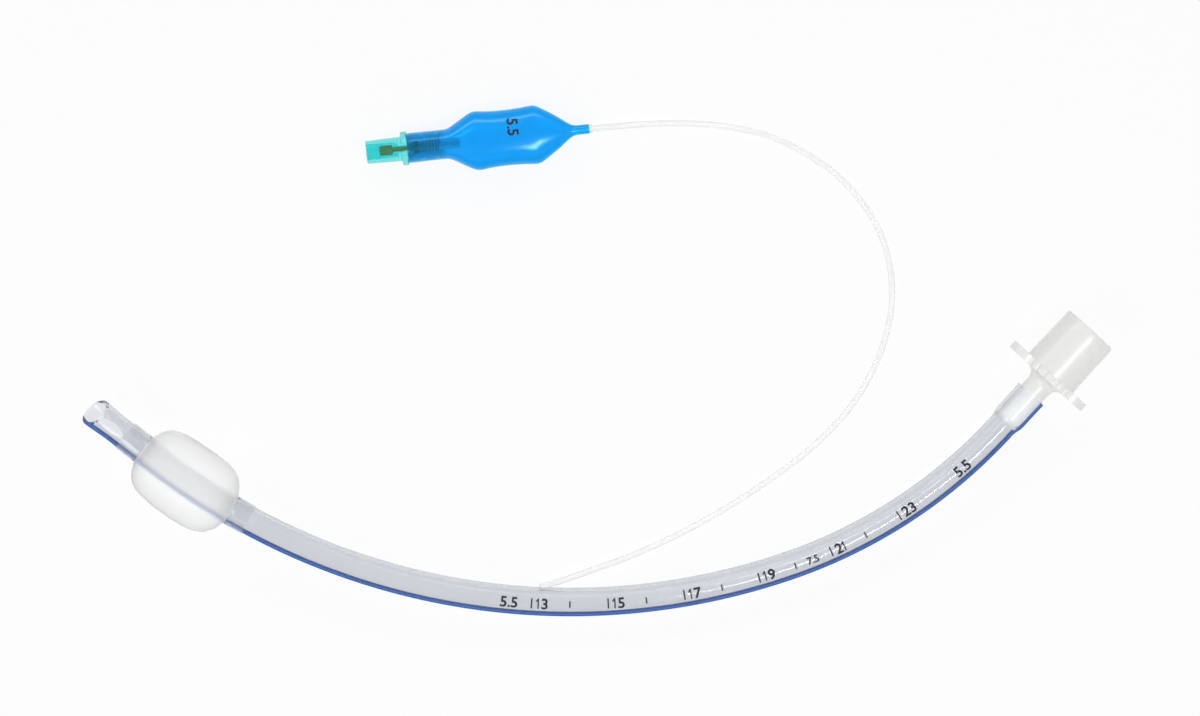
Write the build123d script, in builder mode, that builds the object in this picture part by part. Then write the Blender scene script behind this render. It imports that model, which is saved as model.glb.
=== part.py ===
# Cuffed endotracheal tube, inner diameter 5.5 mm, lying on a table.
# Units are millimetres, with +Z up. The curved shaft, its cuff and its connector share
# one plane, which tilts a little because the cuff and the connector's flange are
# thicker than the shaft. The origin is under the middle of those pieces.
from build123d import *
from math import atan2, cos, degrees, pi, radians, sin, sqrt, tan
import os

os.makedirs("parts", exist_ok=True)

# Shaft section
shaft_bore = 5.5
shaft_outer = 7.5
lumen_diameter = 0.5
lumen_radius = 3.25
strip_radius = 3.3
strip_thickness = 0.5
strip_width = 1.0

# Shaft path, from the patient's end
tip_heading = -38.4
tip_straight = 23.8
main_bend_radius = 173.3
main_bend_angle = 57.5
end_bend_radius = 132.0
end_bend_angle = 28.8
run_out = 1.2

# Patient's end: a bevelled, slightly flared mouth and an eye in the opposite wall
bevel_angle = 55.0
bevel_turn = 20.0
flare_outer = 8.1
flare_bore = 6.2
flare_length = 10.5
flare_land = 3.0
rim_rounding = 0.35
eye_middle = 9.0
eye_length = 8.0
eye_width = 3.2

# Machine end: the shaft is stretched over the connector's nipple
stretch_length = 11.0
stretch_taper = 3.0
stretch_wall = 0.75

# Cuff: each shoulder and flank is so far below the crown, and so far short of its end
cuff_middle = 34.4
cuff_diameter = 20.9
cuff_wall = 0.3
cuff_front = 15.1
cuff_front_shoulder = (0.72, 5.5)
cuff_front_flank = (4.35, 0.8)
cuff_back = 12.4
cuff_back_shoulder = (1.05, 4.8)
cuff_back_flank = (3.5, 1.7)
cuff_axis_offset = 0.25
collar_outer = 8.1
collar_start = 13.2
collar_end = 52.0

# Connector
connector_bore = 5.2
nipple_outer = 7.1
nipple_depth = 10.0
neck_length = 5.3
neck_rounding = 2.5
flange_thickness = 2.2
flange_diameter = 16.4
ear_span = 25.2
ear_width = 9.0
groove_count = 20
groove_diameter = 0.9
cone_length = 15.3
cone_mouth = 15.1
cone_taper = 1 / 40
cone_wall = 1.25
cone_floor = 1.5
funnel_length = 3.0
mouth_rounding = 0.4

# Inflation line: its route in steps of x and y from the notch, and its height
line_outer = 1.65
notch_distance = 131.5
notch_wall = 0.1
line_height = line_outer / 2
line_route = [
    (15.5, 4.8, 2.2),
    (31.5, 11.2, line_height),
    (45.0, 18.2, line_height),
    (59.6, 27.4, line_height),
    (72.8, 37.4, line_height),
    (84.0, 49.7, line_height),
    (91.3, 65.6, line_height),
    (92.9, 80.5, line_height),
    (88.7, 95.7, line_height),
    (77.4, 109.3, line_height),
    (61.5, 118.3, line_height),
    (46.5, 121.3, 1.2),
    (32.0, 121.5, 3.2),
]
line_end = (13.6, 120.0)
line_approach = 6.0

# Pilot balloon, measured along its own axis from the open end of its sleeve
pilot_heading = 186.1
sleeve_length = 10.6
sleeve_outer = 7.7
sleeve_wall = 0.4
film_wall = 0.3
balloon_thickness = 8.7
front_corner = 17.7
front_width = 15.6
waist = 24.3
waist_width = 14.6
back_corner = 33.9
back_width = 15.4
corner_thickness = 6.8
neck_start = 43.2
neck_outer = 2.55
pilot_length = 47.8
bead_diameter = 2.2
bead_length = 0.7

# Valve, measured along the same axis from the mouth of its syringe port
port_length = 9.2
port_mouth_outer = 6.0
port_root_outer = 6.4
port_bore = 4.27
port_taper = 0.06
port_depth = 8.3
ring_diameter = 8.85
ring_length = 1.6
ring_rounding = 0.4
spigot_outer = 4.4
spigot_length = 1.6
stem_hole = 1.8
housing_length = 9.7
housing_wall_end = 0.8
nozzle_outer = 2.8
nozzle_bore = 1.4
nozzle_length = 4.0
groove_depth = 0.45
groove_width = 1.0
groove_starts = [3.4, 7.2]
head_start = 3.4
head_length = 3.4
head_diameter = 2.6
head_rounding = 0.25
stem_diameter = 1.2
seal_diameter = 3.2
seal_length = 1.2
knob_diameter = 1.9
knob_length = 0.7
spring_diameter = 3.1
spring_wire = 0.35
spring_turns = 7
spring_gap = 0.02

# Sizes that follow from those above
shaft_radius = shaft_outer / 2
bore_radius = shaft_bore / 2
nipple_radius = nipple_outer / 2
stretch_radius = nipple_radius + stretch_wall
cuff_radius = cuff_diameter / 2
flange_middle = neck_length + flange_thickness / 2
cone_base = neck_length + flange_thickness
connector_end = cone_base + cone_length
machine_straight = run_out + stretch_length
main_bend_end = tip_straight + radians(main_bend_angle) * main_bend_radius
end_bend_end = main_bend_end + radians(end_bend_angle) * end_bend_radius
shaft_length = end_bend_end + machine_straight


def draw_path(plane, first, last):
    """The shaft's centre line on a plane, between two distances from its tip."""
    with BuildLine(plane) as path:
        heading = radians(tip_heading)
        start = Vector(cos(heading), sin(heading)) * min(first, tip_straight)
        along = (cos(heading), sin(heading))
        if first < tip_straight:
            stop = Vector(*along) * min(last, tip_straight)
            Line((start.X, start.Y), (stop.X, stop.Y))
        if last > tip_straight:
            bend_start = Vector(*along) * tip_straight
            skipped = max(first - tip_straight, 0)
            skipped_angle = radians(tip_heading) + skipped / main_bend_radius
            centre = bend_start + Vector(-sin(heading), cos(heading)) * main_bend_radius
            here = centre + Vector(sin(skipped_angle), -cos(skipped_angle)) * main_bend_radius
            turn = degrees((min(last, main_bend_end) - tip_straight - skipped) / main_bend_radius)
            bend = JernArc(
                (here.X, here.Y), (cos(skipped_angle), sin(skipped_angle)), main_bend_radius, turn
            )
        if last > main_bend_end:
            turn = degrees((min(last, end_bend_end) - main_bend_end) / end_bend_radius)
            bend = JernArc(bend @ 1, bend % 1, end_bend_radius, turn)
        if last > end_bend_end:
            Line(bend @ 1, (bend @ 1) + (bend % 1) * (last - end_bend_end))
    return path.wire()


def section_plane(path, distance):
    """The plane across a path that starts at the tip: x faces up, y the outer side of the bend."""
    here = path.position_at(distance, position_mode=PositionMode.LENGTH)
    along = path.tangent_at(distance, position_mode=PositionMode.LENGTH)
    return Plane(here, x_dir=shaft_plane.z_dir, z_dir=along)


def lean(radius, half_length, direction, slope):
    """How far a disc of some thickness reaches below its centre when its axis slopes."""
    rise = direction.dot(slope)
    return radius * sqrt(1 - rise**2) + half_length * abs(rise)


def rest_on_table(path):
    """The slope of the path's plane that lets cuff, flange and the lowest bend touch the table."""
    cuff_spot = path.position_at(cuff_middle, position_mode=PositionMode.LENGTH)
    cuff_along = path.tangent_at(cuff_middle, position_mode=PositionMode.LENGTH)
    end_along = path % 1
    flange_spot = path @ 1 + end_along * flange_middle
    slope = Vector(0, 0.1)
    for attempt in range(12):
        level_heading = degrees(atan2(-slope.X, slope.Y))
        belly_distance = tip_straight + radians(level_heading - tip_heading) * main_bend_radius
        belly_spot = path.position_at(belly_distance, position_mode=PositionMode.LENGTH)
        cuff_reach = lean(cuff_radius, 0, cuff_along, slope)
        flange_reach = lean(flange_diameter / 2, flange_thickness / 2, end_along, slope)
        cuff_point = cuff_spot + Vector(0, 0, cuff_reach)
        flange_point = flange_spot + Vector(0, 0, flange_reach)
        belly_point = belly_spot + Vector(0, 0, shaft_radius)
        normal = (flange_point - cuff_point).cross(belly_point - cuff_point)
        slope = Vector(-normal.X / normal.Z, -normal.Y / normal.Z)
    height = belly_point.Z - slope.dot(Vector(belly_spot.X, belly_spot.Y))
    return slope, height


# The plane that holds the shaft, first about its tip and then about the middle of its footprint
flat_path = draw_path(Plane.XY, 0, shaft_length)
slope, tip_height = rest_on_table(flat_path)
up = Vector(slope.X, slope.Y, sqrt(1 - slope.X**2 - slope.Y**2))
right = (Vector(1, 0, 0) - up * up.X).normalized()
back = up.cross(right)
plane_x = (right.X, back.X, up.X)
plane_normal = (right.Z, back.Z, up.Z)
shaft_plane = Plane((0, 0, tip_height), x_dir=plane_x, z_dir=plane_normal)
trial_path = draw_path(shaft_plane, 0, shaft_length)
front_distance = tip_straight - radians(tip_heading) * main_bend_radius
footprint = Compound(
    [
        trial_path,
        Edge.make_circle(shaft_radius, section_plane(trial_path, front_distance)),
        Edge.make_circle(cone_mouth / 2, section_plane(trial_path, shaft_length).offset(connector_end)),
    ]
).bounding_box()
middle = footprint.center()
shaft_plane = Plane((-middle.X, -middle.Y, tip_height), x_dir=plane_x, z_dir=plane_normal)
centre_line = draw_path(shaft_plane, 0, shaft_length)
tip_plane = section_plane(centre_line, 0)
machine_plane = section_plane(centre_line, shaft_length)
stretch_plane = machine_plane.offset(-stretch_length)


def lengthwise(plane):
    """A plane that holds the given plane's axis: its x runs outwards, its y along the axis."""
    return Plane(plane.origin, x_dir=plane.x_dir, z_dir=-plane.y_dir)


def outline(plane, points):
    """A closed flat shape with straight sides."""
    with BuildSketch(plane) as shape:
        with BuildLine():
            Polyline(*points, close=True)
        make_face()
    return shape.sketch


def turn(plane, points, mode=Mode.ADD):
    """Turn a closed outline of (radius, distance) points about the plane's axis."""
    axis = Axis(plane.origin, plane.z_dir)
    revolve(outline(lengthwise(plane), points), axis=axis, mode=mode)


def bore(plane, points):
    """Cut a bore through, along (radius, distance) points."""
    turn(plane, [(0, points[0][1])] + points + [(0, points[-1][1])], Mode.SUBTRACT)


def tube_outline(inner, outer, start, end):
    """Half the section of a round tube about an axis."""
    return [(inner, start), (outer, start), (outer, end), (inner, end)]


def disc(plane, radius, offset=0):
    """A circle on a plane, this far along the plane's y."""
    with BuildSketch(plane) as shape:
        with Locations((0, offset)):
            Circle(radius)
    return shape.sketch


def strip_section(plane, radius):
    """The radiopaque strip's section, in the outer wall of the bend."""
    with BuildSketch(plane) as shape:
        with Locations((0, radius)):
            Rectangle(strip_width, strip_thickness)
    return shape.sketch


# Shaft
main_length = shaft_length - stretch_length
main_path = draw_path(shaft_plane, 0, main_length)
lumen_path = draw_path(shaft_plane, cuff_middle, notch_distance)
lumen_start = section_plane(centre_line, cuff_middle)
notch_plane = section_plane(centre_line, notch_distance)
notch_depth = bore_radius + notch_wall + line_outer / 2
notch = notch_plane.origin - notch_plane.y_dir * notch_depth
pilot_along = Vector(cos(radians(pilot_heading)), sin(radians(pilot_heading)))
bead_face = Vector(notch.X + line_end[0], notch.Y + line_end[1], ring_diameter / 2)
port_mouth = bead_face + pilot_along * (bead_length + pilot_length + ring_length + port_length)
line_points = [notch]
line_points += [Vector(notch.X + x, notch.Y + y, z) for x, y, z in line_route]
line_points.append(bead_face - pilot_along * line_approach)
line_points.append(bead_face + pilot_along * (bead_length + pilot_length - neck_start))
line_start = Plane(notch, z_dir=line_points[1] - notch)
bevel_plane = tip_plane.rotated((0, 0, bevel_turn))
bevel_reach = flare_outer / tan(radians(bevel_angle))
eye_centre = bevel_plane.offset(eye_middle)
eye_plane = Plane(eye_centre.origin, x_dir=eye_centre.z_dir, z_dir=-eye_centre.x_dir)
port_plane = Plane(lumen_start.origin, x_dir=lumen_start.z_dir, z_dir=-lumen_start.y_dir)
overshoot = 2.0

with BuildPart() as shaft:
    sweep(disc(tip_plane, shaft_radius), path=main_path)
    flare = [
        (0, 0),
        (flare_outer / 2, 0),
        (flare_outer / 2, flare_land),
        (shaft_radius, flare_length),
        (0, flare_length),
    ]
    turn(tip_plane, flare)
    stretch = [
        (0, 0),
        (shaft_radius, 0),
        (stretch_radius, stretch_taper),
        (stretch_radius, stretch_length),
        (0, stretch_length),
    ]
    turn(stretch_plane, stretch)
    sweep(disc(tip_plane, bore_radius), path=main_path, mode=Mode.SUBTRACT)
    bore(tip_plane, [(flare_bore / 2, 0), (flare_bore / 2, flare_land), (bore_radius, flare_length)])
    stretched_bore = [
        (bore_radius, 0),
        (nipple_radius, stretch_taper),
        (nipple_radius, stretch_length),
    ]
    bore(stretch_plane, stretched_bore)
    bevel_cut = [
        (-flare_outer / 2, 0),
        (flare_outer / 2, bevel_reach),
        (flare_outer / 2 + overshoot, bevel_reach),
        (flare_outer / 2 + overshoot, -overshoot),
        (-flare_outer / 2, -overshoot),
    ]
    extrude(
        outline(lengthwise(bevel_plane), bevel_cut), amount=flare_outer, both=True, mode=Mode.SUBTRACT
    )
    bevel_face = shaft.faces().sort_by(Axis(tip_plane.origin, tip_plane.z_dir))[0]
    fillet(bevel_face.edges(), rim_rounding)
    with BuildSketch(eye_plane):
        SlotOverall(eye_length, eye_width)
    extrude(amount=flare_outer, mode=Mode.SUBTRACT)

# Radiopaque line: an opaque strip along the whole of the outer wall
strip_lift = nipple_radius - bore_radius
strip_end_planes = [stretch_plane, stretch_plane.offset(stretch_taper), machine_plane]
strip_end_radii = [strip_radius, strip_radius + strip_lift, strip_radius + strip_lift]
strip_ends = [strip_section(*end) for end in zip(strip_end_planes, strip_end_radii)]

with BuildPart() as radiopaque_line:
    sweep(strip_section(tip_plane, strip_radius), path=main_path)
    for near, far in zip(strip_ends, strip_ends[1:]):
        loft([near, far], ruled=True)
    add(shaft.part, mode=Mode.INTERSECT)
radiopaque_line.part.label = "radiopaque_line"

with shaft:
    add(radiopaque_line.part, mode=Mode.SUBTRACT)
    sweep(disc(lumen_start, lumen_diameter / 2, -lumen_radius), path=lumen_path, mode=Mode.SUBTRACT)
    lumen_port = disc(port_plane.offset(lumen_radius), lumen_diameter / 2)
    extrude(lumen_port, amount=overshoot, mode=Mode.SUBTRACT)
    extrude(disc(line_start, line_outer / 2), amount=line_outer * 4, mode=Mode.SUBTRACT)
shaft.part.label = "shaft"

# Inflation line: a soft tube from the notch down to the table and on to the pilot balloon


def bend_radii(points):
    """The radius at each corner of a route, as large as the two runs there allow."""
    radii = []
    for before, corner, after in zip(points, points[1:], points[2:]):
        arriving = corner - before
        leaving = after - corner
        half_turn = radians(arriving.get_angle(leaving)) / 2
        radii.append(0.45 * min(arriving.length, leaving.length) / tan(half_turn))
    return radii


line_radii = bend_radii(line_points)

with BuildPart() as inflation_line:
    with BuildLine() as line_path:
        FilletPolyline(*line_points, radius=line_radii)
    sweep(disc(line_start, line_outer / 2), path=line_path.wire())
inflation_line.part.label = "inflation_line"

line_length = line_path.wire().length
plain_volume = pi * line_outer**2 / 4 * line_length
print("inflation line length", round(line_length, 2))
print("inflation line radii", [round(radius, 1) for radius in line_radii])
print("volume over section times length", round(inflation_line.part.volume / plain_volume, 4))

# Cuff: a thin balloon with a collar at each end, bonded round the shaft
cuff_centre = section_plane(centre_line, cuff_middle)
cuff_plane = Plane(
    cuff_centre.origin - cuff_centre.y_dir * cuff_axis_offset,
    x_dir=cuff_centre.x_dir,
    z_dir=cuff_centre.z_dir,
)
collar_radius = collar_outer / 2


def outline_point(drop, short_of_end, end):
    """A point of the balloon's outline, as (radius, distance), near one of its ends."""
    side = 1 if end > 0 else -1
    return cuff_radius - drop, end - side * short_of_end


def balloon_profile(inset=0):
    """Half of the inflated balloon's section, closed along its axis."""
    front_shoulder = outline_point(*cuff_front_shoulder, -cuff_front)
    front_flank = outline_point(*cuff_front_flank, -cuff_front)
    back_shoulder = outline_point(*cuff_back_shoulder, cuff_back)
    back_flank = outline_point(*cuff_back_flank, cuff_back)
    with BuildSketch(lengthwise(cuff_plane)) as profile:
        with BuildLine():
            crown = ThreePointArc(front_shoulder, (cuff_radius, 0), back_shoulder)
            TangentArc(front_shoulder, front_flank, tangent=(crown % 0) * -1)
            TangentArc(back_shoulder, back_flank, tangent=crown % 1)
            Polyline(
                front_flank,
                (collar_radius, -cuff_front),
                (0, -cuff_front),
                (0, cuff_back),
                (collar_radius, cuff_back),
                back_flank,
            )
        make_face()
        if inset:
            offset(amount=-inset, kind=Kind.INTERSECTION)
    return profile.sketch


cuff_axis = Axis(cuff_plane.origin, cuff_plane.z_dir)
collar_path = draw_path(shaft_plane, collar_start, collar_end)
collar_plane = section_plane(centre_line, collar_start)

with BuildPart() as cuff:
    sweep(disc(collar_plane, collar_radius), path=collar_path)
    revolve(balloon_profile(), axis=cuff_axis)
    revolve(balloon_profile(cuff_wall), axis=cuff_axis, mode=Mode.SUBTRACT)
    sweep(disc(collar_plane, shaft_radius), path=collar_path, mode=Mode.SUBTRACT)
cuff.part.label = "cuff"

# Connector: one moulding with a nipple, an eared flange and the conical end for the circuit
nipple_tip = stretch_length - nipple_depth
nipple_tip_radius = bore_radius + strip_lift * min(nipple_tip / stretch_taper, 1)
cone_base_radius = cone_mouth / 2 + cone_length * cone_taper / 2
cone_bore_mouth = cone_mouth / 2 - cone_wall
cone_bore_base = cone_base_radius - cone_wall
funnel_base = cone_base + cone_floor - funnel_length
taper_end = stretch_taper - stretch_length
flange_plane = machine_plane.offset(neck_length)
ear_plane = Plane(flange_plane.origin, x_dir=flange_plane.y_dir, z_dir=flange_plane.z_dir)

with BuildPart() as connector:
    nipple = [
        (0, -nipple_depth),
        (nipple_tip_radius, -nipple_depth),
        (nipple_radius, taper_end),
        (nipple_radius, cone_base),
        (0, cone_base),
    ]
    turn(machine_plane, nipple)
    cone = [
        (0, cone_base),
        (cone_base_radius, cone_base),
        (cone_mouth / 2, connector_end),
        (0, connector_end),
    ]
    turn(machine_plane, cone)
    with BuildSketch(ear_plane):
        Circle(flange_diameter / 2)
        SlotOverall(ear_span, ear_width)
        with PolarLocations(flange_diameter / 2, groove_count):
            Circle(groove_diameter / 2, mode=Mode.SUBTRACT)
    extrude(amount=flange_thickness)
    neck_edge = (
        connector.edges()
        .filter_by(GeomType.CIRCLE)
        .filter_by(lambda edge: abs(edge.radius - nipple_radius) < 0.01)
        .sort_by(Axis(machine_plane.origin, machine_plane.z_dir))[-1]
    )
    fillet(neck_edge, neck_rounding)
    mouth_edge = connector.edges().sort_by(Axis(machine_plane.origin, machine_plane.z_dir))[-1]
    fillet(mouth_edge, mouth_rounding)
    bore(
        machine_plane,
        [
            (connector_bore / 2, -nipple_depth),
            (connector_bore / 2, funnel_base),
            (cone_bore_base, cone_base + cone_floor),
            (cone_bore_mouth, connector_end),
        ],
    )
connector.part.label = "connector"

# Pilot balloon: a blown film balloon with a sleeve for the valve and a neck for the line
valve_plane = Plane(port_mouth, x_dir=Vector(0, 0, 1), z_dir=-pilot_along)
sleeve_start = port_length + ring_length
balloon_plane = valve_plane.offset(sleeve_start)
sleeve_radius = sleeve_outer / 2
housing_radius = sleeve_radius - sleeve_wall
line_radius = line_outer / 2
neck_radius = neck_outer / 2


def balloon_section(distance, width, thickness, inset):
    """The balloon's oval section, this far along its axis."""
    with BuildSketch(balloon_plane.offset(distance)) as section:
        Ellipse(thickness / 2 - inset, width / 2 - inset)
    return section.sketch


def pillow(inset, mode):
    """The inflated part of the balloon, with its two pairs of corners."""
    front = balloon_section(front_corner, front_width, corner_thickness, inset)
    middle = balloon_section(waist, waist_width, balloon_thickness, inset)
    rear = balloon_section(back_corner, back_width, corner_thickness, inset)
    sleeve_inset = sleeve_wall if inset else 0
    neck_inset = (neck_outer - line_outer) / 2 if inset else 0
    sleeve = balloon_section(sleeve_length, sleeve_outer, sleeve_outer, sleeve_inset)
    neck = balloon_section(neck_start, neck_outer, neck_outer, neck_inset)
    loft([sleeve, front], ruled=True, mode=mode)
    loft([front, middle, rear], mode=mode)
    loft([rear, neck], ruled=True, mode=mode)


with BuildPart() as pilot_balloon:
    turn(balloon_plane, tube_outline(0, sleeve_radius, 0, sleeve_length))
    turn(balloon_plane, tube_outline(0, neck_radius, neck_start, pilot_length))
    pillow(0, Mode.ADD)
    turn(balloon_plane, tube_outline(0, housing_radius, 0, sleeve_length), Mode.SUBTRACT)
    turn(balloon_plane, tube_outline(0, line_radius, neck_start, pilot_length), Mode.SUBTRACT)
    pillow(film_wall, Mode.SUBTRACT)
pilot_balloon.part.label = "pilot_balloon"

with BuildPart() as bond_bead:
    bead_end = pilot_length + bead_length
    turn(balloon_plane, tube_outline(line_radius, bead_diameter / 2, pilot_length, bead_end))
bond_bead.part.label = "bond_bead"

# Valve: a syringe port, its housing, and a plunger whose seal a spring holds shut
spigot_end = sleeve_start + spigot_length
housing_end = sleeve_start + housing_length
spring_seat = housing_end - housing_wall_end
nozzle_end = housing_end + nozzle_length
seal_end = spigot_end + seal_length

with BuildPart() as syringe_port:
    port = [
        (0, 0),
        (port_mouth_outer / 2, 0),
        (port_root_outer / 2, port_length),
        (ring_diameter / 2, port_length),
        (ring_diameter / 2, sleeve_start),
        (spigot_outer / 2, sleeve_start),
        (spigot_outer / 2, spigot_end),
        (0, spigot_end),
    ]
    turn(valve_plane, port)
    port_bottom = port_bore / 2 - port_taper * port_depth / 2
    port_bore_points = [
        (port_bore / 2, 0),
        (port_bottom, port_depth),
        (stem_hole / 2, port_depth),
        (stem_hole / 2, spigot_end),
    ]
    bore(valve_plane, port_bore_points)
    ring_edges = syringe_port.edges().filter_by(
        lambda edge: edge.geom_type == GeomType.CIRCLE and abs(edge.radius - ring_diameter / 2) < 0.01
    )
    fillet(ring_edges, ring_rounding)
syringe_port.part.label = "syringe_port"

with BuildPart() as valve_housing:
    turn(valve_plane, tube_outline(0, housing_radius, sleeve_start, housing_end))
    turn(valve_plane, tube_outline(0, nozzle_outer / 2, housing_end, nozzle_end))
    turn(valve_plane, tube_outline(0, spigot_outer / 2, sleeve_start, spring_seat), Mode.SUBTRACT)
    turn(valve_plane, tube_outline(0, nozzle_bore / 2, spring_seat, nozzle_end), Mode.SUBTRACT)
    for groove_start in groove_starts:
        groove_place = sleeve_start + groove_start
        groove = tube_outline(
            housing_radius - groove_depth, housing_radius, groove_place, groove_place + groove_width
        )
        turn(valve_plane, groove, Mode.SUBTRACT)
valve_housing.part.label = "valve_housing"

with BuildPart() as valve_plunger:
    head_end = head_start + head_length
    turn(valve_plane, tube_outline(0, head_diameter / 2, head_start, head_end))
    turn(valve_plane, tube_outline(0, stem_diameter / 2, head_end, seal_end))
    turn(valve_plane, tube_outline(0, knob_diameter / 2, seal_end, seal_end + knob_length))
    head_edges = valve_plunger.edges().filter_by(
        lambda edge: edge.geom_type == GeomType.CIRCLE and abs(edge.radius - head_diameter / 2) < 0.01
    )
    fillet(head_edges, head_rounding)
valve_plunger.part.label = "valve_plunger"

with BuildPart() as valve_seal:
    turn(valve_plane, tube_outline(stem_diameter / 2, seal_diameter / 2, spigot_end, seal_end))
valve_seal.part.label = "valve_seal"

# The spring stands between the seal and the end wall of the housing
spring_start = seal_end + spring_wire / 2 + spring_gap
spring_length = spring_seat - seal_end - spring_wire - 2 * spring_gap
spring_radius = (spring_diameter - spring_wire) / 2
spring_plane = valve_plane.offset(spring_start)

with BuildPart() as valve_spring:
    coil = Helix(
        pitch=spring_length / spring_turns,
        height=spring_length,
        radius=spring_radius,
        center=spring_plane.origin,
        direction=spring_plane.z_dir,
    )
    sweep(disc(Plane(coil @ 0, z_dir=coil % 0), spring_wire / 2), path=coil, is_frenet=True)
valve_spring.part.label = "valve_spring"

sub_parts = [
    shaft,
    radiopaque_line,
    cuff,
    connector,
    inflation_line,
    pilot_balloon,
    bond_bead,
    syringe_port,
    valve_housing,
    valve_plunger,
    valve_seal,
    valve_spring,
]
for sub_part in sub_parts:
    export_step(sub_part.part, "parts/" + sub_part.part.label + ".step")
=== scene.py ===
# %% [markdown]
# A cuffed breathing tube lies on a white table, photographed from straight above.
# The solid model gives its pieces their real size and place. This lesson gives them their
# looks: clear soft tubing, a frosted balloon, milky moulded plastic and glossy blue film.

# %% Load the model
import math
import bpy
from mathutils import Matrix, Vector


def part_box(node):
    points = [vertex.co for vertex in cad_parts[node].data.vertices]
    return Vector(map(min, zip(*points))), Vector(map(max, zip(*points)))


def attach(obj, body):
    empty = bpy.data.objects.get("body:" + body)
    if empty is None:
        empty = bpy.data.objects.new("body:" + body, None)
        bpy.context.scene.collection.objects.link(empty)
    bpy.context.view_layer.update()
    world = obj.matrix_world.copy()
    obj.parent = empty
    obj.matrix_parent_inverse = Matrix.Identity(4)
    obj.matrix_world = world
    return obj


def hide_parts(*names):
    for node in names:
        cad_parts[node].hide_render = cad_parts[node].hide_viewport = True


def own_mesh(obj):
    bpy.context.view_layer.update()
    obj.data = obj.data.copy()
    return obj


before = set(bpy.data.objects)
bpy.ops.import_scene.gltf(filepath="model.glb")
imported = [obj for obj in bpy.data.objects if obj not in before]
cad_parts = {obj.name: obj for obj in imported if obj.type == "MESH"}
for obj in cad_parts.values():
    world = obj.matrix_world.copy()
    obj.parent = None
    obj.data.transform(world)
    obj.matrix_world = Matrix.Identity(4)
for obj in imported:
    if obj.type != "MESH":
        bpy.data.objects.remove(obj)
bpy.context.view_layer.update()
BODY = "tube_assembly"
bpy.ops.object.select_all(action="DESELECT")
print("nodes", sorted(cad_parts))

# %% [markdown]
# The shaft bends in one plane, which tilts a little, because the cuff at one end and the
# flange at the other hold it off the table. A few values fix the whole centre line: where
# the tip is, how the plane slopes, which way the tip points, and the bends one by one.

# %% The centre line of the shaft
MM = 0.001
TIP = Vector((-133.391, 15.5992, 13.6206)) * MM
PLANE_SLOPE = (-0.02494, 0.12009)
TIP_HEADING = math.radians(-38.4)
STRAIGHT_TIP = 23.8 * MM
MAIN_RADIUS = 173.3 * MM
MAIN_ANGLE = math.radians(57.5)
END_RADIUS = 132.0 * MM
END_ANGLE = math.radians(28.8)
STRAIGHT_END = 12.2 * MM
BENDS = [
    (STRAIGHT_TIP, None),
    (MAIN_RADIUS * MAIN_ANGLE, MAIN_RADIUS),
    (END_RADIUS * END_ANGLE, END_RADIUS),
    (STRAIGHT_END, None),
]
SHAFT_LENGTH = sum(length for length, radius in BENDS)

plane_up = Vector((*PLANE_SLOPE, math.sqrt(1 - PLANE_SLOPE[0] ** 2 - PLANE_SLOPE[1] ** 2)))
plane_right = (Vector((1, 0, 0)) - plane_up * plane_up.x).normalized()
plane_back = plane_up.cross(plane_right)
PLANE = Matrix((plane_right, plane_back, plane_up))


def bend_frame(distance):
    """The point this far along the shaft, with its axes: to the viewer, outer side, along."""
    along, across, heading = 0.0, 0.0, TIP_HEADING
    left = distance
    for length, radius in BENDS:
        step = min(left, length)
        if radius:
            turned = heading + step / radius
            along += radius * (math.sin(turned) - math.sin(heading))
            across += radius * (math.cos(heading) - math.cos(turned))
            heading = turned
        else:
            along += step * math.cos(heading)
            across += step * math.sin(heading)
        left -= step
        if left <= 0:
            break
    point = TIP + PLANE @ Vector((along, across, 0))
    viewer = PLANE @ Vector((0, 0, 1))
    forward = PLANE @ Vector((math.cos(heading), math.sin(heading), 0))
    outer = forward.cross(viewer)
    return point, viewer, outer, forward


def on_bend(position):
    """Carry a point of the straight tube, which runs along z, to its place on the bend."""
    point, viewer, outer, forward = bend_frame(position.z)
    return point + viewer * position.x + outer * position.y


print("shaft length", round(SHAFT_LENGTH / MM, 1), "mm")
print("machine end at", [round(value / MM, 2) for value in bend_frame(SHAFT_LENGTH)[0]])

# %% [markdown]
# Most pieces here are round or oval tubes, so one helper makes them. It adds a
# circle, then extrudes it from station to station, each with its own place and half widths.
# Stations may run out along the outside and come back along the inside: joining the last
# ring to the first closes the wall. A curve with a bevel would give the outside as well,
# but not a wall with rounded rims.

# %% A helper for turned and lofted forms


def select_only(piece):
    bpy.ops.object.select_all(action="DESELECT")
    piece.select_set(True)
    bpy.context.view_layer.objects.active = piece


def loft(name, stations, sides=64, joined=False):
    """A form along z through (distance, half_x, half_y) rings, with its ends closed or joined."""
    bpy.ops.object.select_all(action="DESELECT")
    distance, half_x, half_y = stations[0]
    fill = "NOTHING" if joined else "NGON"
    bpy.ops.mesh.primitive_circle_add(vertices=sides, radius=1, fill_type=fill)
    piece = bpy.context.object
    piece.name = name
    bpy.ops.object.mode_set(mode="EDIT")
    bpy.ops.mesh.select_all(action="SELECT")
    bpy.ops.transform.resize(value=(half_x, half_y, 1), center_override=(0, 0, 0))
    bpy.ops.transform.translate(value=(0, 0, distance))
    for last, here in zip(stations, stations[1:]):
        step = (0, 0, here[0] - last[0])
        if joined:
            bpy.ops.mesh.extrude_edges_move(TRANSFORM_OT_translate={"value": step})
        else:
            bpy.ops.mesh.extrude_region_move(TRANSFORM_OT_translate={"value": step})
        growth = (here[1] / last[1], here[2] / last[2], 1)
        if growth != (1, 1, 1):
            bpy.ops.transform.resize(value=growth, center_override=(0, 0, here[0]))
    bpy.ops.mesh.select_all(action="SELECT")
    bpy.ops.mesh.remove_doubles(threshold=1e-6)
    bpy.ops.mesh.normals_make_consistent(inside=False)
    bpy.ops.object.mode_set(mode="OBJECT")
    return piece


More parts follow.
